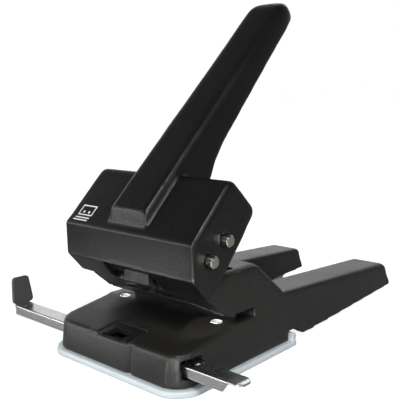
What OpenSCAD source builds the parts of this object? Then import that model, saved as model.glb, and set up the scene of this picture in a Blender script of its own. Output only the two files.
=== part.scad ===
// Heavy-duty two-hole lever punch. Millimetres, +X right along the guide ruler,
// +Y back towards the rear of the legs, +Z up. The origin is on the table, midway
// between the two punches.

/* [Punching] */
// distance between the two punch axes
hole_spacing = 80; // [70:0.5:90]
// radius of a punch
punch_r = 2.9; // [2.4:0.05:3.2]
// height of the throat at the punches
throat_h = 5.8; // [5:0.1:8]
// distance from the punch axis to the paper stop
stop_depth = 12; // [10:0.5:14]

/* [Base] */
// half the width of the base at its lower edge
base_half_w = 54.8; // [50:0.1:60]
// distance from the punch axis forward to the front face
front_reach = 48.8; // [44:0.1:55]
// distance from the punch axis back to the end of the legs
leg_reach = 203; // [170:1:220]
// height of the lower edge of the casting above the table
base_z = 4; // [3:0.1:6]
// height of the platform at the dies
platform_z = 28.2; // [25:0.1:32]
// height of the top of the rear block
block_z = 60; // [56:0.5:66]
// half the gap between the two legs
leg_gap_half = 26.4; // [22:0.2:32]
// radius of the two front corners in plan
corner_r = 14; // [10:0.5:18]

/* [Lever] */
// half the outside width of the hood
hood_half_w = 54.2; // [53.8:0.1:56]
// thickness of the hood walls
hood_wall = 3; // [2.4:0.1:4]
// half the width of the handle
handle_half_w = 15.5; // [13:0.1:18]
// radius of the two cross axles
axle_r = 3.6; // [3:0.1:5]
// how far the axles stand out of each side of the hood
axle_proud = 4.6; // [2:0.1:6]

/* [Ruler] */
// left end of the ruler
ruler_left = -109; // [-120:0.5:-90]
// right end of the ruler
ruler_right = 89; // [80:0.5:110]
// thickness of the ruler sheet
ruler_t = 1.2; // [0.8:0.1:1.6]

/* [Tray] */
// how far the tray rim stands out beyond the casting
tray_lip = 3.6; // [2:0.1:5]
// distance from the punch axis back to the rear edge of the tray
tray_reach = 60.2; // [58.5:0.1:62]

/* [Hidden] */
$fn = 64;
eps = 0.01;
fit_gap = 0.05;
free_gap = 0.3;
punch_x = hole_spacing / 2;

// sides of the casting lean in going up, and open out a little towards the back
side_draft = 5.5;
side_splay = 0.57;
front_draft = 5;

// lower platform
front_y = -front_reach;
platform_front_z = 21.6;
platform_break_y = -3;
platform_slope = atan((platform_z - platform_front_z) / (platform_break_y - front_y));
platform_end_y = 66;
throat_end_y = 21;
jaw_z = platform_z + throat_h;

// upper jaw, cheeks and rear block
nose_y = -4.3;
nose_top = [-20, 46.6];
cheek_in_x = 46.3;
well_z = 53;
well_end_y = 8;
block_front_y = -9;
block_end_y = 26;
slope_end = [54, 36.4];
pivot = [-24, 71.5];
boss_r = 9;

// lever
drive = [-10.5, 81];
hood_in_x = hood_half_w - hood_wall;
hood_fold = [-37.7, 82.5];
hood_front_low = [-37, 61.8];
hood_bottom = [-22.6, 46];
hood_rear = [20, 94];
hood_top = [-4, 116];
rear_wall_cut = 6;
notch_half_w = 20;
notch_h = 20;
bevel = 1.6;

// handle outline, side view
handle_pts = [
    [-34.6, 84.6], [-33.4, 96], [98.5, 223], [106, 227.4], [113.5, 226.8], [119.3, 220.5],
    [118.2, 216.3], [38.8, 132.2], [30, 119.5], [26.2, 110], [16.5, 93], [-6, 106],
];
handle_wall = 3;
// distance along the handle from its foot to the free end
handle_end = 196.6;
handle_end_r = 10;

// legs
leg_top_end_z = 28.4;
leg_end_low_z = 10;
leg_end_lean = 6.5;
leg_low_y = 73;
leg_low_z = 4.2;
leg_wall = 3.2;
leg_out_x = 52;

// index groove on the front face
index_x = [12.8, 17.4];
index_depth = 2.2;

// ruler channel and ruler
channel_y = [-43.2, -27.5];
channel_z = [8.4, 19];
ruler_y = [-41, -29];
ruler_z = 16.1;
ruler_flange_z = 9.6;
ruler_flange_end = 81.3;
ruler_flange_slant = 4;
ruler_tip_r = 4.5;
stop_plate_t = 2.4;
// how much narrower the plate is at its top
stop_taper = 4;
stop_y = [-42, -25.5];
stop_z = [16.4, 35.5];

// chip tray and the chip chamber over it
chamber_x = 49;
chamber_y = [-24, 50];
chamber_top_z = 21.5;
die_post_z = 17;
tray_gap = 1;
tray_floor_t = 1.5;
tray_wall_t = 1.6;
tray_wall_z = 11;
tray_rim_z = base_z - free_gap;
tray_hinge = [58, 6.4];
tray_pin_r = 1.5;
tray_pin_x = [44.4, 50.5];
tray_lug_x = [44.6, 48.8];
tray_ear_y = 56.9;
tray_ear_z = 8.4;
tray_slot_y = [55.2, 66];
tray_slot_z = 9.7;

// punching gear
die_r = 3.7;
die_h = 8;
guide_r = 5.6;
guide_z = 36.7;
spring_pocket_r = 6.3;
spring_pocket_z = 42;
guide_plate_t = 0.9;
lip_len = 7.6;
lip_slope = 38;
bar_z = [65.7, 73.7];
bar_y = [-14.5, 6.5];
bar_half_w = 45.4;
punch_tip_z = jaw_z + 1.4;
roller_r = 7;
roller_x = [20, 30];
clip_t = 0.8;
clip_r = 6;

// latch under the front of the hood
latch_half_w = 10.4;
latch_t = 3;
latch_slope = 34;
latch_back = [-9.6, 38.9];
latch_len = 20.5;
latch_short = 4.5;
latch_screw_y = -9;
latch_tab_h = 7;
latch_tab_t = 4;

// screws and rivets
rivet_gap = 2.4;
screw_r = 1.6;
screw_head_r = 3;

// ---------------------------------------------------------------- helpers

// both the given shape and its mirror image in X
module both_sides() {
    children();
    mirror([1, 0, 0]) children();
}

// extrude a Y-Z outline along X, from x0 to x1
module along_x(x0, x1) {
    translate([x0, 0, 0]) rotate([90, 0, 90]) linear_extrude(x1 - x0) children();
}

// extrude an X-Z outline along Y, from y0 to y1
module along_y(y0, y1) {
    translate([0, y1, 0]) rotate([90, 0, 0]) linear_extrude(y1 - y0) children();
}

// round bar along X
module bar_x(r, x0, x1, at) {
    translate([x0, at[0], at[1]]) rotate([0, 90, 0]) cylinder(r = r, h = x1 - x0);
}

// round bar or bored ring along X
module ring_x(r_out, r_in, x0, x1, at) {
    difference() {
        bar_x(r_out, x0, x1, at);
        bar_x(r_in, x0 - 1, x1 + 1, at);
    }
}

// round bar along Z with a bore
module ring_z(r_out, r_in, z0, z1) {
    translate([0, 0, z0]) difference() {
        cylinder(r = r_out, h = z1 - z0);
        translate([0, 0, -1]) cylinder(r = r_in, h = z1 - z0 + 2);
    }
}

// box given by its two opposite corners
module box(low, high) {
    translate(low) cube(high - low);
}

// flat rectangle with round corners, given by two opposite corners
module round_rect(low, high, r) {
    translate(low + [r, 0]) square([high[0] - low[0] - 2 * r, high[1] - low[1]]);
    translate(low + [0, r]) square([high[0] - low[0], high[1] - low[1] - 2 * r]);
    for (x = [low[0] + r, high[0] - r], y = [low[1] + r, high[1] - r])
        translate([x, y]) circle(r = r);
}

function unit(v) = v / norm(v);
function turned(v) = [-v[1], v[0]];
function cross2(a, b) = a[0] * b[1] - a[1] * b[0];

// a point on edge i of an outline, after moving the edge inwards by d
function edge_point(pts, i, d) =
    let (n = len(pts), a = pts[i], b = pts[(i + 1) % n])
    a - d * turned(unit(b - a));

// outline with edge i moved inwards by d[i]; the outline runs clockwise
function inset(pts, d) =
    let (n = len(pts))
    [for (i = [0 : n - 1])
        let (
            j = (i + n - 1) % n,
            p = edge_point(pts, j, d[j]),
            q = edge_point(pts, i, d[i]),
            u = unit(pts[i] - pts[j]),
            v = unit(pts[(i + 1) % n] - pts[i]),
            t = cross2(q - p, v) / cross2(u, v)
        )
        p + t * u];

// convex corner i of an outline rounded by r, as the points of its arc
function corner_arc(pts, i, r, steps = 6) =
    let (
        n = len(pts),
        u = unit(pts[(i + n - 1) % n] - pts[i]),
        v = unit(pts[(i + 1) % n] - pts[i]),
        half = acos(u * v) / 2,
        centre = pts[i] + unit(u + v) * r / sin(half),
        from = pts[i] + u * r / tan(half) - centre,
        turn = 180 - 2 * half
    )
    [for (k = [0 : steps])
        let (a = -turn * k / steps)
        centre + [from[0] * cos(a) - from[1] * sin(a), from[0] * sin(a) + from[1] * cos(a)]];

// convex clockwise outline with each corner rounded by r[i]
module rounded(pts, r) {
    polygon([for (i = [0 : len(pts) - 1]) each corner_arc(pts, i, r[i])]);
}

// square bar along the edge from a to b of a side outline, for bevelling it at x
module edge_bevel(a, b, x, size) {
    d = b - a;
    translate([x, a[0], a[1]])
        rotate([atan2(d[1], d[0]), 0, 0])
        rotate([0, 45, 0])
        translate([-size / 2, -2, -size / 2])
        cube([size, norm(d) + 4, size]);
}

// ---------------------------------------------------------------- base casting

// everything outside the leaning right side of the casting
module outside_right() {
    translate([base_half_w, front_y, base_z])
        rotate([0, 0, -side_splay])
        rotate([0, -side_draft, 0])
        translate([0, -20, -30])
        cube([40, 300, 140]);
}

// everything in front of the leaning front face
module outside_front() {
    translate([-80, front_y, base_z])
        rotate([-front_draft, 0, 0])
        translate([0, -40, -30])
        cube([160, 40, 120]);
}

// waste at the front right corner, outside its cone
module outside_corner() {
    cone_h = 30;
    crossing = 0.2;
    c = [base_half_w - corner_r + crossing, front_y + corner_r - crossing];
    difference() {
        box([c[0], c[1] - corner_r - 2, 0], [c[0] + corner_r + 2, c[1], base_z + cone_h]);
        translate([c[0], c[1], base_z])
            cylinder(r1 = corner_r, r2 = corner_r - cone_h * tan(side_draft), h = cone_h + eps);
    }
}

// platform, throat and rear block, seen from the right
module platform_outline() {
    polygon([
        [front_y, base_z], [front_y, platform_front_z], [platform_break_y, platform_z],
        [throat_end_y, platform_z], [throat_end_y, jaw_z + 0.8], [nose_y + 1, jaw_z + 0.8],
        nose_top, [-19.6, 51], [-14, well_z], [well_end_y, well_z], [well_end_y, block_z],
        [block_end_y, block_z], slope_end, [platform_end_y, 35.6], [platform_end_y, base_z],
    ]);
}

// cheek beside the punching gear, carrying the pivot
module cheek_outline() {
    polygon([
        [throat_end_y, platform_z], [throat_end_y, jaw_z], [nose_y, jaw_z],
        nose_top, [-20, 51], [-30.4, 66.8], pivot, [-16.7, 74.8], [block_front_y, block_z],
        [block_end_y, block_z], slope_end, [40, platform_z],
    ]);
    translate(pivot) circle(r = boss_r);
}

// one leg, seen from the right
module leg_outline() {
    polygon([
        [50, platform_z], slope_end, [leg_reach - leg_end_lean - 1.5, leg_top_end_z],
        [leg_reach - leg_end_lean + 0.4, leg_top_end_z - 1.6], [leg_reach, leg_end_low_z + 1.2],
        [leg_reach - 1.2, leg_end_low_z], [leg_low_y, leg_low_z], [platform_end_y - 2, tray_slot_z],
        [50, tray_slot_z],
    ]);
}

// hollow under one leg
module leg_hollow() {
    along_x(leg_gap_half + leg_wall, leg_out_x - leg_wall + 1)
        polygon([
            [70, -1], [70, 30], [leg_reach - leg_end_lean - 5, leg_top_end_z - 4.5],
            [leg_reach - leg_end_lean - 4, -1],
        ]);
}

// chip chamber, open to the tray below
module chip_chamber() {
    difference() {
        box([-chamber_x, chamber_y[0], 0], [chamber_x, chamber_y[1], chamber_top_z]);
        both_sides() translate([punch_x, 0, die_post_z]) cylinder(r = die_r + 3, h = 40);
    }
    both_sides() translate([punch_x, 0, -1]) cylinder(r = punch_r + 1.4, h = platform_z);
}

// lug that carries one end of the tray hinge
module tray_lug() {
    lug_r = 2.4;
    difference() {
        union() {
            bar_x(lug_r, tray_lug_x[0], tray_lug_x[1], tray_hinge);
            box([tray_lug_x[0], tray_hinge[0] - lug_r, tray_hinge[1]],
                [tray_lug_x[1], tray_hinge[0] + lug_r, tray_slot_z + 1]);
        }
        bar_x(tray_pin_r + fit_gap, tray_lug_x[0] - 1, tray_lug_x[1] + 1, tray_hinge);
    }
}

// channel right through the base for the ruler
module ruler_channel() {
    box([-70, channel_y[0], channel_z[0]], [70, channel_y[1], channel_z[1]]);
}

// index groove on the front face, deeper towards the right
module index_groove() {
    linear_extrude(platform_front_z + 2) polygon([
        [index_x[0], front_y - 2], [index_x[0], front_y],
        [index_x[1], front_y + index_depth], [index_x[1], front_y - 2],
    ]);
}

// seat and shaft for the reading window
module window_seat() {
    translate([0, front_y, platform_front_z]) rotate([platform_slope, 0, 0]) {
        box([-13, -4, -1.6], [13, 17.8, 6]);
        box([-8.4, 2.2, -8], [8.4, 12.6, 6]);
    }
}

// bevels along the top edges of the block, the legs and the front
module base_bevels() {
    leg_top_end = [leg_reach - leg_end_lean, leg_top_end_z];
    both_sides() {
        edge_bevel([block_front_y - 4, block_z], [block_end_y, block_z], 50.0, 3.4);
        edge_bevel(slope_end, leg_top_end, 54.4, 2.6);
        edge_bevel(slope_end, leg_top_end, leg_gap_half, 2);
    }
    translate([-60, front_y + 1.5, platform_front_z + 0.2]) rotate([45, 0, 0]) cube([120, 2.2, 2.2]);
}

module base_casting() {
    color([0.09, 0.09, 0.095])
    difference() {
        union() {
            along_x(-60, 60) platform_outline();
            both_sides() along_x(cheek_in_x, 60) cheek_outline();
            both_sides() along_x(leg_gap_half, 62) leg_outline();
        }
        both_sides() {
            outside_right();
            outside_corner();
            leg_hollow();
            translate([punch_x, 0, 0]) {
                translate([0, 0, platform_z - die_h]) cylinder(r = die_r, h = 20);
                translate([0, 0, jaw_z - 6]) cylinder(r = guide_r, h = 20);
                translate([0, 0, spring_pocket_z]) cylinder(r = spring_pocket_r, h = 30);
            }
            bar_x(axle_r + fit_gap, 40, 62, pivot);
        }
        // room above the throat for the guide plate
        box([-48.6, nose_y, jaw_z - 2], [48.6, stop_depth + 3, jaw_z + 1]);
        guide_lip(fit_gap);
        // open well in the middle of the jaw, behind its front wall
        box([-26, -13, 40], [26, 3, 80]);
        // recess for the latch through the front of the jaw
        latch_room();
        chip_chamber();
        ruler_channel();
        window_seat();
        outside_front();
        base_bevels();
        // groove for the hinge of the tray, with a bored lug at each end
        difference() {
            box([-70, tray_slot_y[0], -1], [70, tray_slot_y[1], tray_slot_z]);
            both_sides() tray_lug();
        }
        // gap between the legs
        box([-leg_gap_half, 60, -1], [leg_gap_half, leg_reach + 5, 60]);
        index_groove();
    }
}

// ---------------------------------------------------------------- base fittings

module die_bushes() {
    color([0.78, 0.78, 0.8])
    both_sides() translate([punch_x, 0, 0]) difference() {
        union() {
            translate([0, 0, platform_z - die_h + fit_gap])
                cylinder(r = die_r - fit_gap, h = die_h - 0.35);
            translate([0, 0, platform_z - 0.3]) cylinder(r1 = die_r - fit_gap, r2 = die_r - 0.35, h = 0.3);
        }
        translate([0, 0, 10]) cylinder(r = punch_r + 0.08, h = 30);
    }
}

module guide_bushes() {
    color([0.66, 0.66, 0.68])
    both_sides() translate([punch_x, 0, 0]) {
        ring_z(guide_r - fit_gap, punch_r + 0.08, guide_z, spring_pocket_z);
    }
}

// flared front lip of the paper guide, grown by d
module guide_lip(d) {
    w = 48.3 + d;
    front = -lip_len - d;
    translate([0, nose_y + 0.3, jaw_z]) rotate([-lip_slope, 0, 0])
        translate([0, 0, -d]) linear_extrude(guide_plate_t + 2 * d)
        polygon([[-w, 0.8], [w, 0.8], [w, -d], [28, front], [-28, front], [-w, -d]]);
}

// flat part of the paper guide under the jaw, with its lip
module paper_guide_plate() {
    color([0.16, 0.16, 0.17])
    difference() {
        union() {
            box([-48.3, nose_y + 0.2, jaw_z], [48.3, stop_depth + 2.7, jaw_z + guide_plate_t]);
            guide_lip(0);
        }
        both_sides() translate([punch_x, 0, jaw_z - 1]) cylinder(r = punch_r + 0.4, h = 4);
        both_sides() translate([31, 5, jaw_z - 1]) cylinder(r = screw_r + 0.1, h = 4);
    }
}

module guide_plate_screws() {
    color([0.6, 0.6, 0.62])
    both_sides() translate([31, 5, jaw_z - 0.6]) {
        cylinder(r1 = 2.4, r2 = 2.8, h = 0.6 - eps);
        cylinder(r = screw_r, h = 0.95);
    }
}

// bar across the throat that stops the sheets
module paper_stop() {
    color([0.55, 0.55, 0.57])
    difference() {
        box([-44, stop_depth, platform_z + eps], [44, stop_depth + 2.4, jaw_z - eps]);
        both_sides() box([14, stop_depth - 1, platform_z + 2], [22, stop_depth + 4, jaw_z + 1]);
    }
}

module window_bezel() {
    color([0.03, 0.03, 0.032])
    translate([0, front_y, platform_front_z]) rotate([platform_slope, 0, 0]) difference() {
        union() {
            box([-12.8, 1.4, -1.5], [12.8, 17.6, -0.3]);
            box([-10.6, 1.4, -1], [10.6, 14.8, 0]);
            box([-8.3, 2.3, -2.6], [8.3, 12.5, -1]);
        }
        box([-7.3, 3.3, -8], [7.3, 11.5, 6]);
        box([-9, -4, -0.9], [9, 3.4, 6]);
    }
}

// plastic blocks that guide the ruler inside the channel
module ruler_guides() {
    low = [28, channel_y[0] + fit_gap, channel_z[0] + fit_gap];
    high = [42, channel_y[1] - fit_gap, channel_z[1] - fit_gap];
    color([0.12, 0.12, 0.13])
    both_sides() difference() {
        box(low, high);
        box([20, ruler_y[0] - free_gap, ruler_z - ruler_t - free_gap],
            [50, ruler_y[1] + free_gap, ruler_z + free_gap]);
        box([20, ruler_y[0] - free_gap, ruler_flange_z - free_gap],
            [50, ruler_y[0] + ruler_t + free_gap, ruler_z]);
    }
}

// bowed leaf over the ruler
module ruler_detent_spring() {
    top = channel_z[1] - fit_gap;
    low = ruler_z + 0.35;
    color([0.7, 0.7, 0.72])
    along_y(-38, -32)
        polygon([
            [-22, top], [-14, top], [-5, low + 0.5], [5, low + 0.5], [14, top], [22, top],
            [22, top - 0.5], [14.2, top - 0.5], [5.2, low], [-5.2, low], [-14.2, top - 0.5],
            [-22, top - 0.5],
        ]);
}

// axle with bevelled ends
module cross_axle(at) {
    reach = hood_half_w + axle_proud;
    ring = 0.7;
    bar_x(axle_r, -reach + ring, reach - ring, at);
    both_sides() translate([reach - ring, at[0], at[1]]) rotate([0, 90, 0])
        cylinder(r1 = axle_r, r2 = axle_r - ring, h = ring);
}

module pivot_axle() {
    color([0.72, 0.7, 0.64]) cross_axle(pivot);
}

module pivot_clips() {
    color([0.5, 0.5, 0.52])
    both_sides() ring_x(clip_r, axle_r + fit_gap, cheek_in_x - 0.2 - clip_t, cheek_in_x - 0.2, pivot);
}

module rear_feet() {
    color([0.82, 0.85, 0.86])
    both_sides() translate([35.5, leg_reach - 27, 0]) {
        cylinder(r1 = 4.6, r2 = 5.6, h = 9);
        translate([0, 0, 9]) cylinder(r = 5.6, h = 3);
    }
}

// ---------------------------------------------------------------- tray

module chip_tray() {
    x = base_half_w + tray_lip;
    y = front_y - tray_lip;
    r = corner_r + tray_lip;
    wall_x = chamber_x - tray_gap;
    wall_low = [-wall_x, chamber_y[0] + tray_gap];
    wall_high = [wall_x, chamber_y[1] - tray_gap];
    color([0.84, 0.9, 0.94])
    difference() {
        union() {
            difference() {
                union() {
                    linear_extrude(tray_rim_z - 0.6) rim_outline(x, y, r, 0);
                    translate([0, 0, tray_rim_z - 0.6 - eps]) linear_extrude(0.6 + eps)
                        rim_outline(x, y, r, 0.6);
                }
                translate([0, 0, tray_floor_t]) linear_extrude(10)
                    round_rect([-wall_x - 2, y + 6], [wall_x + 2, tray_reach - 4], 6);
            }
            translate([0, 0, eps]) linear_extrude(tray_wall_z) round_rect(wall_low, wall_high, 4);
            both_sides() {
                box([50.4, tray_ear_y, eps], [x - 0.8, tray_reach, tray_ear_z]);
                bar_x(tray_pin_r, tray_pin_x[0], tray_pin_x[1], tray_hinge);
            }
        }
        translate([0, 0, tray_floor_t]) linear_extrude(20)
            round_rect(wall_low + [tray_wall_t, tray_wall_t], wall_high - [tray_wall_t, tray_wall_t], 2.4);
    }
}

// plan of the tray rim, drawn in by d all round
module rim_outline(x, y, r, d) {
    c = r - d;
    round_rect([-x + d, y + d], [x - d, y + 3 * r], c);
    translate([-x + d, y + r]) square([2 * x - 2 * d, tray_reach - y - r - d]);
}

// ---------------------------------------------------------------- ruler

module ruler_bar() {
    mid_y = (ruler_y[0] + ruler_y[1]) / 2;
    color([0.8, 0.8, 0.82])
    difference() {
        union() {
            translate([0, 0, ruler_z - ruler_t]) linear_extrude(ruler_t) {
                translate([ruler_left, ruler_y[0]])
                    square([ruler_right - ruler_tip_r - ruler_left, ruler_y[1] - ruler_y[0]]);
                round_rect([ruler_right - 20, ruler_y[0]], [ruler_right, ruler_y[1]], ruler_tip_r);
            }
            along_y(ruler_y[0], ruler_y[0] + ruler_t)
                polygon([
                    [ruler_left, ruler_flange_z],
                    [ruler_flange_end - ruler_flange_slant, ruler_flange_z],
                    [ruler_flange_end, ruler_z - ruler_t + eps],
                    [ruler_left, ruler_z - ruler_t + eps],
                ]);
        }
        translate([55.5, mid_y + 0.6, 0]) cylinder(r = 1.5, h = 40);
        for (y = [mid_y - rivet_gap, mid_y + rivet_gap])
            translate([ruler_left + 5, y, 0]) cylinder(r = 1.3, h = 40);
    }
}

// upright plate at the left end, on a foot riveted under the ruler
module ruler_stop() {
    mid_y = (ruler_y[0] + ruler_y[1]) / 2;
    foot_top = ruler_z - ruler_t - eps;
    foot_y = [ruler_y[0] + ruler_t + 0.1, ruler_y[1] - 0.4];
    plate_x = ruler_left - stop_plate_t - 0.05;
    color([0.2, 0.2, 0.21])
    difference() {
        union() {
            along_x(plate_x, plate_x + stop_plate_t) {
                rounded([
                    [stop_y[0], stop_z[0]], [stop_y[0], stop_z[1]],
                    [stop_y[1] - stop_taper, stop_z[1]], [stop_y[1], stop_z[0]],
                ], [2.4, 2.4, 2.4, 2.4]);
                translate([foot_y[0], foot_top - 2]) square([foot_y[1] - foot_y[0], 6]);
            }
            box([plate_x, foot_y[0], foot_top - 2], [ruler_left + 9, foot_y[1], foot_top]);
        }
        for (y = [mid_y - rivet_gap, mid_y + rivet_gap])
            translate([ruler_left + 5, y, 0]) cylinder(r = 1.3, h = 60);
    }
}

module stop_rivets() {
    mid_y = (ruler_y[0] + ruler_y[1]) / 2;
    low = ruler_z - ruler_t - 2;
    color([0.75, 0.75, 0.77])
    for (y = [mid_y - rivet_gap, mid_y + rivet_gap]) translate([ruler_left + 5, y, 0]) {
        translate([0, 0, low - 0.5]) cylinder(r = 1.25, h = ruler_z + 0.3 - low + 0.5);
        translate([0, 0, low - 0.6]) cylinder(r = 1.9, h = 0.55);
        translate([0, 0, ruler_z + 0.05]) cylinder(r1 = 1.9, r2 = 1.5, h = 0.3);
    }
}

// ---------------------------------------------------------------- lever

hood_pts = [hood_fold, hood_top, hood_rear, hood_bottom, hood_front_low];
hood_radii = [2.5, 6, 6, 5, 2.5];

module hood_shell() {
    walls = [hood_wall, hood_wall, -12, hood_wall, hood_wall];
    rear_dir = unit(hood_rear - hood_bottom);
    difference() {
        along_x(-hood_half_w, hood_half_w) rounded(hood_pts, hood_radii);
        along_x(-hood_in_x, hood_in_x) polygon(inset(hood_pts, walls));
        // rear wall stops short so that it clears the block
        translate([-hood_in_x, hood_rear[0], hood_rear[1]])
            rotate([atan2(rear_dir[1], rear_dir[0]), 0, 0])
            translate([0, -8, -8])
            cube([2 * hood_in_x, 20, 8 + rear_wall_cut]);
        // notch in the front wall for the latch
        translate([-notch_half_w, hood_bottom[0], hood_bottom[1]])
            rotate([atan2(hood_front_low[1] - hood_bottom[1], hood_front_low[0] - hood_bottom[0]), 0, 0])
            translate([0, -6, -8])
            cube([2 * notch_half_w, notch_h + 6, 16]);
        both_sides() for (i = [0 : len(hood_pts) - 1])
            edge_bevel(hood_pts[i], hood_pts[(i + 1) % len(hood_pts)], hood_half_w, bevel);
    }
}

// rounds the free end of the handle as seen from above its front face
module handle_end_corner() {
    rise = handle_pts[2] - handle_pts[1];
    corner = [handle_half_w - handle_end_r, handle_end - handle_end_r];
    translate([0, handle_pts[1][0], handle_pts[1][1]]) rotate([atan2(rise[1], rise[0]), 0, 0])
        difference() {
            box([corner[0], corner[1], -60], [handle_half_w + 5, handle_end + 5, 20]);
            translate([corner[0], corner[1], -70]) cylinder(r = handle_end_r, h = 100);
        }
}

module handle_beam() {
    difference() {
        along_x(-handle_half_w, handle_half_w) polygon(handle_pts);
        // hollow, open along the underside
        along_x(-handle_half_w + handle_wall, handle_half_w - handle_wall)
            polygon([
                [24, 148], [92, 212.4], [104, 216], [120, 208], [80, 160], [50, 130], [30, 100],
                [20, 112],
            ]);
        both_sides() for (i = [1 : 4])
            edge_bevel(handle_pts[i], handle_pts[i + 1], handle_half_w, 2.4);
        both_sides() handle_end_corner();
    }
}

module lever_casting() {
    color([0.085, 0.085, 0.09])
    difference() {
        union() {
            hood_shell();
            difference() {
                handle_beam();
                // keep the inside of the hood clear
                along_x(-hood_in_x, hood_in_x)
                    polygon(inset(hood_pts, [hood_wall, hood_wall, -12, hood_wall, hood_wall]));
            }
        }
        both_sides() bar_x(axle_r + fit_gap, 45, 60, pivot);
        both_sides() bar_x(axle_r + fit_gap, 45, 60, drive);
    }
}

module drive_axle() {
    color([0.72, 0.7, 0.64]) cross_axle(drive);
}

module roller_clips() {
    color([0.5, 0.5, 0.52])
    both_sides() {
        ring_x(clip_r, axle_r + fit_gap, roller_x[0] - 0.3 - clip_t, roller_x[0] - 0.3, drive);
        ring_x(clip_r, axle_r + fit_gap, roller_x[1] + 0.3, roller_x[1] + 0.3 + clip_t, drive);
    }
}

module drive_rollers() {
    color([0.62, 0.62, 0.64])
    both_sides() ring_x(roller_r, axle_r + fit_gap, roller_x[0], roller_x[1], drive);
}

// ---------------------------------------------------------------- punching gear

module press_bar() {
    color([0.45, 0.45, 0.47])
    difference() {
        box([-bar_half_w, bar_y[0], bar_z[0]], [bar_half_w, bar_y[1], bar_z[1]]);
        both_sides() translate([punch_x, 0, 50]) cylinder(r = punch_r + fit_gap, h = 40);
        both_sides() translate([bar_half_w - 3, bar_y[0], 50]) rotate([0, 0, -45]) cube([12, 6, 40]);
        box([-12, bar_y[1] - 5, 50], [12, bar_y[1] + 1, 90]);
    }
}

// punch with a hollow-ground cutting end and a clip groove at the top
module punch() {
    top = bar_z[1] + 2.4;
    groove = [bar_z[1] + 0.2, bar_z[1] + 1.2];
    difference() {
        translate([0, 0, punch_tip_z]) cylinder(r = punch_r, h = top - punch_tip_z);
        translate([-6, 0, punch_tip_z - 1]) rotate([0, 90, 0]) cylinder(r = 2.2, h = 12);
        ring_z(punch_r + 1, punch_r - 0.6, groove[0], groove[1]);
    }
}

module punch_left() {
    color([0.75, 0.75, 0.77]) translate([-punch_x, 0, 0]) punch();
}

module punch_right() {
    color([0.75, 0.75, 0.77]) translate([punch_x, 0, 0]) punch();
}

module punch_clips() {
    z0 = bar_z[1] + 0.25;
    color([0.5, 0.5, 0.52])
    both_sides() translate([punch_x, 0, 0]) ring_z(5, punch_r - 0.5, z0, z0 + 0.9);
}

// return spring drawn as its turns
module spring_turns(x) {
    turns = 7;
    wire_r = 0.75;
    coil_r = 4.9;
    low = spring_pocket_z + wire_r + 0.05;
    high = bar_z[0] - wire_r - 0.05;
    for (i = [0 : turns - 1])
        translate([x, 0, low + (high - low) * i / (turns - 1)])
            rotate_extrude() translate([coil_r, 0]) circle(r = wire_r, $fn = 24);
}

module spring_left() {
    color([0.6, 0.6, 0.62]) spring_turns(-punch_x);
}

module spring_right() {
    color([0.6, 0.6, 0.62]) spring_turns(punch_x);
}

// ---------------------------------------------------------------- latch

// space the latch needs in the jaw, with its travel
module latch_room() {
    translate([0, latch_back[0], latch_back[1]]) rotate([-latch_slope, 0, 0])
        box([-latch_half_w - 0.4, -30, -3], [latch_half_w + 0.4, 5.5, latch_t + 0.4]);
}

module latch_slider() {
    color([0.13, 0.13, 0.135])
    difference() {
        union() {
            translate([0, latch_back[0], latch_back[1]]) rotate([-latch_slope, 0, 0])
                box([-latch_half_w, -latch_len, 0], [latch_half_w, -latch_short, latch_t]);
            box([-latch_half_w, latch_front()[0], latch_front()[1]],
                [latch_half_w, latch_front()[0] + latch_tab_t, latch_front()[1] + latch_tab_h]);
        }
        both_sides() latch_slot();
    }
}

// lower front corner of the latch tab
function latch_front() =
    latch_back + latch_len * [-cos(latch_slope), sin(latch_slope)] + [-0.8, -0.4];

// slot that the latch screw stands in
module latch_slot() {
    translate([5.5, latch_back[0], latch_back[1]]) rotate([-latch_slope, 0, 0])
        box([-screw_r - 0.3, latch_screw_y - 5, -1], [screw_r + 0.3, latch_screw_y + 2, latch_t + 1]);
}

module latch_screws() {
    color([0.6, 0.6, 0.62])
    both_sides() translate([5.5, latch_back[0], latch_back[1]]) rotate([-latch_slope, 0, 0])
        translate([0, latch_screw_y, 0]) {
            translate([0, 0, -1.5]) cylinder(r = screw_head_r, h = 1.2);
            translate([0, 0, -0.4]) cylinder(r = screw_r, h = latch_t + 0.8 - eps);
        }
}

// ---------------------------------------------------------------- nodes

base_casting();
die_bushes();
guide_bushes();
paper_guide_plate();
guide_plate_screws();
paper_stop();
window_bezel();
ruler_guides();
ruler_detent_spring();
pivot_axle();
pivot_clips();
latch_screws();
rear_feet();
chip_tray();
ruler_bar();
ruler_stop();
stop_rivets();
lever_casting();
drive_axle();
roller_clips();
drive_rollers();
press_bar();
punch_left();
punch_right();
punch_clips();
spring_left();
spring_right();
latch_slider();
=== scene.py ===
"""Heavy-duty two-hole lever punch: materials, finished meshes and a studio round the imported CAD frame.

Metres, X right along the guide ruler, Y back towards the rear of the legs, Z up. The rules that say where
edges are rounded work in millimetres.
"""
import math

import bmesh
import bpy
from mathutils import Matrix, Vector


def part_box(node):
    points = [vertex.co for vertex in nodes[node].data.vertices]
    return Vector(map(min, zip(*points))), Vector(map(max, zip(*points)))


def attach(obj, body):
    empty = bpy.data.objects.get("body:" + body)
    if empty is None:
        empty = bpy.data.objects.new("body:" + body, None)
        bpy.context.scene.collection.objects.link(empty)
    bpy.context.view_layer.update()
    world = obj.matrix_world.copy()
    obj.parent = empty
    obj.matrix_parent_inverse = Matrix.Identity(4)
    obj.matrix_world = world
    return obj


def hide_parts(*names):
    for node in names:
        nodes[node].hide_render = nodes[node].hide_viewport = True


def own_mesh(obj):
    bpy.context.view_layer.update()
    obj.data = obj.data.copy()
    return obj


MM = 0.001

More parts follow.
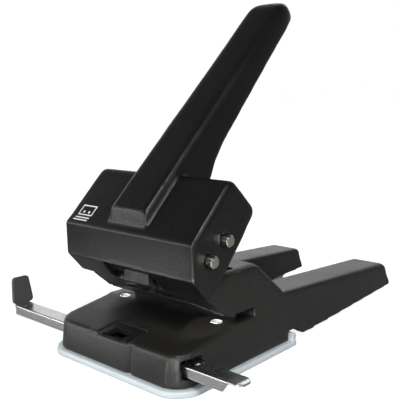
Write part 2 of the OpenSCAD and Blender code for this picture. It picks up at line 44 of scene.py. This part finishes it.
# camera: place, then pitch and turn in degrees, lens in mm
CAMERA_PLACE = (0.27195, -0.28304, 0.15669)
CAMERA_PITCH = 81.42
CAMERA_TURN = 41.18
CAMERA_LENS = 57.54
CAMERA_SHIFT = (0.0078, -0.0019)
CAMERA_CLIP = (0.01, 50.0)

# studio daylight: a direction's X, then its Z, from and to, and the strength at each end
SIDE_LIGHT = (-0.75, 0.45, 1.15, 0.12)
OVERHEAD_LIGHT = (0.2, 0.6, 1.0, 0.08)

# lamps: name, place, target, width and height, watts, spread in degrees
WIDE = 180.0
AREA_LIGHTS = (
    ("front", (0.75, -1.64, 0.24), (0, 0, 0.05), (1.3, 0.46), 13.0, WIDE),
    ("left", (-1.20, -1.45, 0.22), (0, 0, 0.04), (1.0, 0.4), 4.0, WIDE),
    # the next three hang low and light only a patch of floor, which the base mirrors
    ("floor_corner", (0.125, -0.115, 0.05), (0.125, -0.115, 0.0), (0.07, 0.07), 0.46, 36.0),
    ("floor_front", (-0.090, -0.120, 0.05), (-0.090, -0.120, 0.0), (0.12, 0.05), 0.13, 40.0),
    ("floor_index", (0.032, -0.135, 0.05), (0.032, -0.135, 0.0), (0.02, 0.06), 0.10, 30.0),
    ("edge", (0.30, -0.25, 0.50), (0, 0, 0.09), (0.16, 0.16), 1.5, WIDE),
    ("right", (1.40, -0.10, 0.70), (0, 0, 0.05), (0.6, 0.6), 3.5, WIDE),
    ("back", (-0.4, 1.6, 1.4), (0, 0, 0.0), (1.6, 0.8), 5.0, WIDE),
)

# a narrow beam on each die bush, from in front and above: Y and Z of lamp and bush, cone in degrees, watts
DIE_LAMP = (-0.49, 0.37)
DIE_TOP = (0.0, 0.022)
DIE_CONE = 2.6
DIE_POWER = 16.0
BEAM_BLEND = 0.3
BEAM_RADIUS = 3 * MM

FLOOR_COLOR = (0.50, 0.50, 0.50)
FLOOR_GLOW = 0.92
FLOOR_HALF = 20.0

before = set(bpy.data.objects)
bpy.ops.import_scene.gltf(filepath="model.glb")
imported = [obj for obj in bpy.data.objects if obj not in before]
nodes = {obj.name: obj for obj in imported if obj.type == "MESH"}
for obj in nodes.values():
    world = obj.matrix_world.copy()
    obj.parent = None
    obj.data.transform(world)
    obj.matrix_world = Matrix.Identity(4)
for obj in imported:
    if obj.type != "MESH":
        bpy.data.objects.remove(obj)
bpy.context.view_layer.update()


# ---------------------------------------------------------------- shader nodes


def map_range(tree, value, from_min, from_max, to_min, to_max):
    """value from from_min..from_max mapped to to_min..to_max"""
    node = tree.nodes.new("ShaderNodeMapRange")
    tree.links.new(value, node.inputs["Value"])
    node.inputs["From Min"].default_value = from_min
    node.inputs["From Max"].default_value = from_max
    node.inputs["To Min"].default_value = to_min
    node.inputs["To Max"].default_value = to_max
    return node.outputs["Result"]


def calculate(tree, operation, *terms):
    """a Math node; each term is a number or the output of a node"""
    node = tree.nodes.new("ShaderNodeMath")
    node.operation = operation
    for socket, term in zip(node.inputs, terms):
        if isinstance(term, (int, float)):
            socket.default_value = term
        else:
            tree.links.new(term, socket)
    return node.outputs["Value"]


class Shader:
    """A Principled material and short calls for the nodes that feed it."""

    def __init__(self, name, color, roughness, metallic=0.0):
        self.material = bpy.data.materials.new(name)
        self.material.use_nodes = True
        self.tree = self.material.node_tree
        self.base = self.tree.nodes["Principled BSDF"]
        self.place = self.add("ShaderNodeTexCoord").outputs["Object"]
        self.set("Base Color", (*color, 1.0))
        self.set("Roughness", roughness)
        self.set("Metallic", metallic)

    def add(self, kind):
        return self.tree.nodes.new(kind)

    def set(self, socket, value):
        self.base.inputs[socket].default_value = value

    def link(self, out, into):
        self.tree.links.new(out, into)

    def drive(self, socket, value):
        self.link(value, self.base.inputs[socket])

    def noise(self, scale, detail=3.0, rough=0.55, stretch=(1, 1, 1)):
        mapping = self.add("ShaderNodeMapping")
        mapping.inputs["Scale"].default_value = stretch
        self.link(self.place, mapping.inputs["Vector"])
        node = self.add("ShaderNodeTexNoise")
        self.link(mapping.outputs["Vector"], node.inputs["Vector"])
        node.inputs["Scale"].default_value = scale
        node.inputs["Detail"].default_value = detail
        node.inputs["Roughness"].default_value = rough
        return node.outputs["Fac"]

    def spread(self, value, low, high, start=0.3, stop=0.7):
        """value from start..stop mapped to low..high"""
        return map_range(self.tree, value, start, stop, low, high)

    def math(self, operation, a, b):
        return calculate(self.tree, operation, a, b)

    def edges(self, start, stop):
        """near 1 on the crown of convex edges, 0 on flats"""
        geometry = self.add("ShaderNodeNewGeometry")
        return self.spread(geometry.outputs["Pointiness"], 0.0, 1.0, start, stop)

    def mix_color(self, factor, a, b):
        node = self.add("ShaderNodeMixRGB")
        self.link(factor, node.inputs["Fac"])
        node.inputs["Color1"].default_value = (*a, 1.0)
        node.inputs["Color2"].default_value = (*b, 1.0)
        return node.outputs["Color"]

    def bump(self, height, strength, distance, rounding=0.0):
        """relief from height, over edges that look rounded to the radius rounding"""
        node = self.add("ShaderNodeBump")
        node.inputs["Strength"].default_value = strength
        node.inputs["Distance"].default_value = distance
        self.link(height, node.inputs["Height"])
        if rounding:
            bevel = self.add("ShaderNodeBevel")
            bevel.samples = 6
            bevel.inputs["Radius"].default_value = rounding
            self.link(bevel.outputs["Normal"], node.inputs["Normal"])
        self.link(node.outputs["Normal"], self.base.inputs["Normal"])


# ---------------------------------------------------------------- materials


def paint(name, color, roughness, rounding=0.0):
    """satin enamel: fine orange peel over a slow swell, patchy gloss, edges brighter in patches: part wear
    from rubbing, part painted highlight
    """
    s = Shader(name, color, roughness)
    peel = s.noise(620, detail=3.0, rough=0.65)
    swell = s.noise(90, detail=2.0)
    patches = s.noise(28, detail=4.0)
    # edges paler in patches: partly wear from rubbing, partly a painted highlight where light catches the
    # rounded edges
    edge_patches = s.spread(s.noise(160, detail=5.0), 0.1, 0.6, 0.35, 0.75)
    rubbed_and_highlit = s.math("MULTIPLY", s.edges(0.53, 0.60), edge_patches)
    worn_highlight = tuple(min(1.0, c * 3.0 + 0.07) for c in color)
    s.drive("Base Color", s.mix_color(rubbed_and_highlit, color, worn_highlight))
    uneven = s.spread(patches, roughness - 0.045, roughness + 0.06)
    s.drive("Roughness", s.math("SUBTRACT", uneven, s.math("MULTIPLY", rubbed_and_highlit, 0.1)))
    height = s.math("ADD", peel, s.math("MULTIPLY", swell, 1.2))
    s.bump(height, 0.6, 0.30 * MM, rounding)
    return s.material


def steel(name, color, roughness, along=(1, 1, 1), grain=0.2, spots=0.0):
    """metal with a drawn or ground grain along one direction, and duller clouds"""
    s = Shader(name, color, roughness, metallic=1.0)
    lines = s.noise(2600, detail=3.0, rough=0.6, stretch=along)
    cloud = s.noise(120, detail=4.0)
    dull = tuple(c * (0.86 - spots) for c in color)
    s.drive("Base Color", s.mix_color(s.spread(cloud, 0.0, 1.0, 0.35, 0.72), color, dull))
    clouded = s.spread(cloud, roughness - 0.03, roughness + 0.05)
    s.drive("Roughness", s.math("ADD", s.spread(lines, -0.05, 0.06), clouded))
    s.bump(lines, grain, 0.02 * MM, 0.15 * MM)
    return s.material


def plastic(name, color, roughness, grain=0.15, subsurface=0.0, rounding=0.2 * MM):
    """moulded plastic with a light texture and a small drift of colour and gloss"""
    s = Shader(name, color, roughness)
    if subsurface:
        s.set("Subsurface Weight", subsurface)
        s.set("Subsurface Radius", (1.0, 1.0, 1.0))
        s.set("Subsurface Scale", 3.0 * MM)
    fine = s.noise(1100, detail=2.0)
    drift = s.noise(35, detail=3.0)
    shade = tuple(c * 0.93 for c in color)
    s.drive("Base Color", s.mix_color(s.spread(drift, 0.0, 1.0), color, shade))
    s.drive("Roughness", s.spread(drift, roughness - 0.04, roughness + 0.05))
    s.bump(fine, grain, 0.03 * MM, rounding)
    return s.material


ALONG_X = (0.02, 1, 1)
MATERIALS = {
    "base_paint": paint("base_paint", (0.0195, 0.0185, 0.0172), 0.31),
    "lever_paint": paint("lever_paint", (0.0055, 0.0055, 0.0055), 0.31),
    "stop_paint": paint("stop_paint", (0.075, 0.075, 0.076), 0.42, rounding=0.3 * MM),
    "dark_steel": paint("dark_steel", (0.018, 0.018, 0.019), 0.38, rounding=0.2 * MM),
    "ruler_steel": steel("ruler_steel", (0.80, 0.80, 0.81), 0.24, along=ALONG_X, grain=0.08),
    "tool_steel": steel("tool_steel", (0.66, 0.66, 0.67), 0.24),
    # ground and polished rings; their near-white pale glossy face is a painted highlight in place of the
    # bright reflection of their metal
    "die_painted_highlight": plastic("die_painted_highlight", (0.98, 0.98, 0.97), 0.30),
    "black_screw": steel("black_screw", (0.05, 0.05, 0.052), 0.4),
    "zinc_steel": steel("zinc_steel", (0.60, 0.61, 0.63), 0.30, spots=0.1),
    "nickel": steel("nickel", (0.66, 0.64, 0.58), 0.22, spots=0.06),
    "spring_steel": steel("spring_steel", (0.50, 0.50, 0.52), 0.28),
    "tray_plastic": plastic("tray_plastic", (0.82, 0.90, 0.94), 0.30, subsurface=0.5),
    "foot_rubber": plastic("foot_rubber", (0.66, 0.70, 0.72), 0.6, grain=0.3),
    "black_plastic": plastic("black_plastic", (0.012, 0.012, 0.013), 0.36),
    "white_print": plastic("white_print", (0.93, 0.94, 0.93), 0.5, rounding=0.0),
}


def finish_in(obj, material):
    """one material on the whole object"""
    obj.data.materials.clear()
    obj.data.materials.append(MATERIALS[material])


# ---------------------------------------------------------------- mesh helpers


def link(obj):
    bpy.context.scene.collection.objects.link(obj)
    return obj


def object_from(bm, name):
    """a linked object with what bm holds"""
    mesh = bpy.data.meshes.new(name)
    bm.to_mesh(mesh)
    bm.free()
    return link(bpy.data.objects.new(name, mesh))


def shade_smooth(obj):
    polygons = obj.data.polygons
    polygons.foreach_set("use_smooth", [True] * len(polygons))


def bake(obj):
    """applies the modifiers, so that the object keeps plain data"""
    bpy.context.view_layer.update()
    graph = bpy.context.evaluated_depsgraph_get()
    mesh = bpy.data.meshes.new_from_object(obj.evaluated_get(graph), depsgraph=graph)
    obj.modifiers.clear()
    obj.data = mesh


def solid_copy(node, name):
    """the CAD node's mesh with its split vertices joined"""
    bm = bmesh.new()
    bm.from_mesh(nodes[node].data)
    bmesh.ops.remove_doubles(bm, verts=bm.verts, dist=0.004 * MM)
    return object_from(bm, name)


def ramp(value, start, stop):
    """0 at start, 1 at stop, held beyond"""
    return max(0.0, min(1.0, (value - start) / (stop - start)))


# ---------------------------------------------------------------- castings and moulded pieces


def soften(obj, passes, group=""):
    """smooths the mesh, by the weights of a vertex group if one is named"""
    smooth = obj.modifiers.new("soften", "SMOOTH")
    smooth.factor = 0.5
    smooth.iterations = passes
    smooth.vertex_group = group


def soften_where(obj, rule, passes):
    """rounds the edges further where rule(x, y, z) in mm gives weight"""
    group = obj.vertex_groups.new(name="soft")
    steps = {}
    for v in obj.data.vertices:
        weight = round(max(0.0, min(1.0, rule(*(v.co / MM)))), 1)
        if weight:
            steps.setdefault(weight, []).append(v.index)
    for weight, members in steps.items():
        group.add(members, weight, "REPLACE")
    soften(obj, passes, group.name)
    bake(obj)
    obj.vertex_groups.clear()


def thin_to(obj, triangles):
    """fewer faces, if the mesh has more triangles than given"""
    count = len(obj.data.polygons) * 2
    if count > triangles:
        thin = obj.modifiers.new("thin", "DECIMATE")
        thin.ratio = triangles / count
        bake(obj)


def cast_piece(name, node, body, material, slot, voxel, passes, triangles, rules=(), bend=None):
    """the node as a casting: skinned at voxel size in mm, its edges softened into small radii"""
    obj = solid_copy(node, name)
    skin = obj.modifiers.new("skin", "REMESH")
    skin.mode = "VOXEL"
    skin.voxel_size = voxel * MM
    skin.adaptivity = 0.0
    soften(obj, passes)
    bake(obj)
    for rule, rule_passes in rules:
        soften_where(obj, rule, rule_passes)
    if bend:
        for v in obj.data.vertices:
            v.co = bend(v.co)
    thin_to(obj, triangles)
    shade_smooth(obj)
    finish_in(obj, material)
    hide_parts(node)
    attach(obj, body)


def leg_rule(x, y, z):
    """the rear legs, above their lower rim"""
    return ramp(y, 30, 38) * ramp(z, 13, 18)


def block_rule(x, y, z):
    """the upper edges of the block behind the jaw"""
    return ramp(z, 50, 56) * ramp(y, 9, 12)


def platform_rule(x, y, z):
    """the platform's outer upper edges, but not round the reading window"""
    beside_window = abs(x) < 20 and y < -26
    if y > -2 or z < 15 or beside_window:
        return 0.0
    near_side = ramp(abs(x), 40, 44)
    near_front = ramp(-y, 40, 44)
    return max(near_side, near_front) * ramp(z, 18.5, 20.5) * ramp(-y, 2, 6)


def handle_rule(x, y, z):
    """the handle, and the rear of its root"""
    root = ramp(y, 16, 24) * ramp(z, 100, 108)
    return max(ramp(z, 108, 150), root)


def handle_end_rule(x, y, z):
    """the handle's free end"""
    return ramp(z, 140, 190)


def handle_foot_rule(x, y, z):
    """the handle's side edges near the hood"""
    sides = ramp(abs(x), 9, 12) * ramp(25 - abs(x), 0, 3)
    return sides * ramp(z, 86, 92) * ramp(150 - z, 0, 20) * ramp(20 - y, 0, 8)


def hood_rule(x, y, z):
    """the hood's upper edges beside the handle"""
    return ramp(z, 80, 86) * ramp(abs(x), 20, 26) * ramp(y, -38, -34)


def ruler_bend_rule(x, y, z):
    """the bend between the ruler's top and its front flange"""
    return ramp(-y, 37.0, 39.0) * ramp(z, 12.0, 13.5)


TIP_LENGTH = 3.4 * MM
TIP_FALL = 0.05 / MM
tip_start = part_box("ruler_bar")[1][0] - TIP_LENGTH


def droop(co):
    """the ruler's right end, pressed down a little"""
    over = max(0.0, co.x - tip_start)
    return Vector((co.x, co.y, co.z - TIP_FALL * over * over))


BASE_RULES = ((leg_rule, 30), (block_rule, 20), (platform_rule, 36))
LEVER_RULES = ((handle_rule, 110), (handle_end_rule, 160), (handle_foot_rule, 26), (hood_rule, 36))
RULER_RULES = ((ruler_bend_rule, 26),)

# piece, CAD node, body, material, slot, then voxel in mm, smoothing passes, most triangles, rules and bend
for row in (
    ("base_body", "base_casting", "base", "base_paint", "casting_paint", 0.8, 4, 190000, BASE_RULES),
    ("lever_body", "lever_casting", "lever", "lever_paint", "lever_paint", 0.8, 5, 190000, LEVER_RULES),
    ("ruler_strip", "ruler_bar", "ruler", "ruler_steel", "bright_steel", 0.3, 4, 90000, RULER_RULES, droop),
    ("chip_drawer", "chip_tray", "tray", "tray_plastic", "tray_plastic", 0.5, 2, 150000),
    ("stop_plate", "ruler_stop", "ruler", "stop_paint", "stop_paint", 0.3, 2, 60000),
    ("guide_lip", "paper_guide_plate", "base", "dark_steel", "dark_steel", 0.3, 1, 90000),
    ("latch_tab", "latch_slider", "latch", "dark_steel", "latch_steel", 0.3, 2, 60000),
):
    cast_piece(*row)

# CAD nodes that stay, in their finished material: node, material, slot
for node, material, slot in (
    # the die bushes take the near-white painted highlight, not a steel colour
    ("die_bushes", "die_painted_highlight", "tool_steel"),
    ("guide_bushes", "tool_steel", "tool_steel"),
    ("guide_plate_screws", "zinc_steel", "zinc_steel"),
    # painted shade: the zinc-steel paper stop gets the dark finish because it stands in the hood's shade
    ("paper_stop", "dark_steel", "zinc_steel"),
    ("window_bezel", "black_plastic", "black_plastic"),
    ("ruler_guides", "black_plastic", "black_plastic"),
    ("ruler_detent_spring", "spring_steel", "spring_steel"),
    ("pivot_axle", "nickel", "nickel"),
    ("pivot_clips", "zinc_steel", "zinc_steel"),
    ("latch_screws", "black_screw", "zinc_steel"),
    ("rear_feet", "foot_rubber", "foot_rubber"),
    ("stop_rivets", "zinc_steel", "zinc_steel"),
    ("drive_axle", "nickel", "nickel"),
    ("roller_clips", "zinc_steel", "zinc_steel"),
    ("drive_rollers", "tool_steel", "tool_steel"),
    ("press_bar", "zinc_steel", "zinc_steel"),
    ("punch_left", "tool_steel", "tool_steel"),
    ("punch_right", "tool_steel", "tool_steel"),
    ("punch_clips", "spring_steel", "spring_steel"),
):
    finish_in(nodes[node], material)


# ---------------------------------------------------------------- return springs

WIRE_R = 0.75 * MM
COIL_R = 4.9 * MM
COIL_TURNS = 7.5
CLOSED_TURN = 0.9
RINGS_PER_TURN = 36
WIRE_SIDES = 10

spring_low, spring_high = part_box("spring_left")
spring_foot = spring_low[2]
spring_height = spring_high[2] - spring_foot
hole_x = (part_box("spring_right")[0][0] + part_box("spring_right")[1][0]) / 2


def wire_height(turn):
    """the wire's centre above the coil's foot: closed ends, an even pitch between them"""
    last_closed = COIL_TURNS - CLOSED_TURN
    ends = 2 * WIRE_R * (min(turn, CLOSED_TURN) + max(0.0, turn - last_closed))
    rise = spring_height - 2 * WIRE_R - 4 * CLOSED_TURN * WIRE_R
    return WIRE_R + ends + ramp(turn, CLOSED_TURN, last_closed) * rise


def wire_ring(x, turn):
    """points round the wire where it has made so many turns about the upright at x"""
    angle = 2 * math.pi * turn
    out = Vector((math.cos(angle), math.sin(angle), 0))
    centre = Vector((x, 0, spring_foot + wire_height(turn))) + out * COIL_R
    ring = []
    for k in range(WIRE_SIDES):
        a = 2 * math.pi * k / WIRE_SIDES
        ring.append(centre + out * WIRE_R * math.cos(a) + Vector((0, 0, WIRE_R * math.sin(a))))
    return ring


def coil(name, node, x):
    """a return spring wound from one wire"""
    bm = bmesh.new()
    rings = []
    for i in range(int(COIL_TURNS * RINGS_PER_TURN) + 1):
        rings.append([bm.verts.new(co) for co in wire_ring(x, i / RINGS_PER_TURN)])
    for a, b in zip(rings, rings[1:]):
        for k in range(WIRE_SIDES):
            after = (k + 1) % WIRE_SIDES
            bm.faces.new((a[k], a[after], b[after], b[k]))
    bm.faces.new(rings[0][::-1])
    bm.faces.new(rings[-1])
    bmesh.ops.recalc_face_normals(bm, faces=bm.faces)
    obj = object_from(bm, name)
    shade_smooth(obj)
    finish_in(obj, "spring_steel")
    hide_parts(node)
    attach(obj, "base")
    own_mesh(obj)


coil("coil_left", "spring_left", -hole_x)
coil("coil_right", "spring_right", hole_x)


# ---------------------------------------------------------------- printed sign

INK = 0.03 * MM
INK_LIFT = 0.10 * MM


def bar(u0, v0, u1, v1):
    return [(u0, v0), (u1, v0), (u1, v1), (u0, v1)]


def disc(u, v, r, sides=24):
    angles = [2 * math.pi * k / sides for k in range(sides)]
    return [(u + r * math.cos(a), v + r * math.sin(a)) for a in angles]


def sheet_shapes(u, v, w, h, line):
    """outline of a sheet with its two holes, over a short stack of lines, in mm on the face"""
    outline = [
        bar(u, v, u + w, v + line),
        bar(u, v + h - line, u + w, v + h),
        bar(u, v + line, u + line, v + h - line),
        bar(u + w - line, v + line, u + w, v + h - line),
    ]
    holes = [disc(u + w * share, v + h * 0.34, 0.9) for share in (0.32, 0.68)]
    stack = []
    for gap, shift in ((2.2, 0.8), (4.0, 1.6)):
        stack.append(bar(u - shift, v - gap, u + w - shift, v - gap + line))
    return outline + holes + stack


def printed_mark(name, shapes, origin, across, up, body):
    """ink on a face: each shape is a list of (u, v) points in mm along across and up"""
    across = Vector(across).normalized()
    up = Vector(up).normalized()
    out = across.cross(up)
    start = Vector(origin) + out * INK_LIFT
    bm = bmesh.new()
    for points in shapes:
        bm.faces.new([bm.verts.new(start + (across * u + up * v) * MM) for u, v in points])
    made = bmesh.ops.extrude_face_region(bm, geom=bm.faces[:])
    raised = [v for v in made["geom"] if isinstance(v, bmesh.types.BMVert)]
    bmesh.ops.translate(bm, vec=out * INK, verts=raised)
    bmesh.ops.recalc_face_normals(bm, faces=bm.faces)
    obj = object_from(bm, name)
    obj.data.materials.append(MATERIALS["white_print"])
    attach(obj, body)


# the hood's upper face rises from this fold, in this direction
HOOD_FOLD = Vector((0, -37.7, 82.5)) * MM
HOOD_RISE = (0, 30.5, 30.1)
SIGN = sheet_shapes(u=-46.5, v=6.6, w=13.0, h=7.8, line=0.85)
printed_mark("sheet_sign", SIGN, HOOD_FOLD, (1, 0, 0), HOOD_RISE, "lever")


# ---------------------------------------------------------------- stage


def floor_material():
    """pale matt sheet, lit through from below where it is seen directly, so that it turns white"""
    s = Shader("floor_white", FLOOR_COLOR, 0.85)
    glow = s.add("ShaderNodeEmission")
    glow.inputs["Strength"].default_value = FLOOR_GLOW
    over = s.add("ShaderNodeAddShader")
    s.link(s.base.outputs["BSDF"], over.inputs[0])
    s.link(glow.outputs["Emission"], over.inputs[1])
    pick = s.add("ShaderNodeMixShader")
    s.link(s.add("ShaderNodeLightPath").outputs["Is Camera Ray"], pick.inputs["Fac"])
    s.link(s.base.outputs["BSDF"], pick.inputs[1])
    s.link(over.outputs["Shader"], pick.inputs[2])
    s.link(pick.outputs["Shader"], s.tree.nodes["Material Output"].inputs["Surface"])
    return s.material


def make_floor():
    bm = bmesh.new()
    bmesh.ops.create_grid(bm, x_segments=2, y_segments=2, size=FLOOR_HALF)
    floor = object_from(bm, "floor")
    floor.data.materials.append(floor_material())


def make_world():
    """white backdrop; as a light it is bright on the left and falls off to the right and overhead"""
    world = bpy.data.worlds.new("studio")
    world.use_nodes = True
    tree = world.node_tree
    direction = tree.nodes.new("ShaderNodeTexCoord").outputs["Generated"]
    parts = tree.nodes.new("ShaderNodeSeparateXYZ")
    tree.links.new(direction, parts.inputs["Vector"])
    sideways = map_range(tree, parts.outputs["X"], *SIDE_LIGHT)
    upwards = map_range(tree, parts.outputs["Z"], *OVERHEAD_LIGHT)
    seen = tree.nodes.new("ShaderNodeLightPath").outputs["Is Camera Ray"]
    daylight = calculate(tree, "MULTIPLY", sideways, upwards)
    background = tree.nodes["Background"]
    background.inputs["Color"].default_value = (1, 1, 1, 1)
    tree.links.new(calculate(tree, "MAXIMUM", daylight, seen), background.inputs["Strength"])
    bpy.context.scene.world = world


def place_light(data, place, target):
    """a lamp at place, turned to target; the camera doesn't see it"""
    light = link(bpy.data.objects.new(data.name, data))
    light.visible_camera = False
    light.location = place
    light.rotation_mode = "QUATERNION"
    light.rotation_quaternion = (Vector(target) - Vector(place)).to_track_quat("-Z", "Y")


def area_light(name, place, target, size, power, spread):
    data = bpy.data.lights.new(name, "AREA")
    data.shape = "RECTANGLE"
    data.size, data.size_y = size
    data.energy = power
    data.spread = math.radians(spread)
    place_light(data, place, target)


def die_light(name, x):
    data = bpy.data.lights.new(name, "SPOT")
    data.spot_size = math.radians(DIE_CONE)
    data.spot_blend = BEAM_BLEND
    data.shadow_soft_size = BEAM_RADIUS
    data.energy = DIE_POWER
    place_light(data, (x, *DIE_LAMP), (x, *DIE_TOP))


def make_camera():
    data = bpy.data.cameras.new("camera")
    data.lens = CAMERA_LENS
    data.sensor_width = 36.0
    data.shift_x, data.shift_y = CAMERA_SHIFT
    data.clip_start, data.clip_end = CAMERA_CLIP
    camera = link(bpy.data.objects.new("camera", data))
    camera.location = CAMERA_PLACE
    camera.rotation_euler = (math.radians(CAMERA_PITCH), 0.0, math.radians(CAMERA_TURN))
    bpy.context.scene.camera = camera


make_floor()
make_world()
for lamp in AREA_LIGHTS:
    area_light(*lamp)
die_light("die_left", -hole_x)
die_light("die_right", hole_x)
make_camera()
bpy.context.scene.view_settings.view_transform = "Standard"
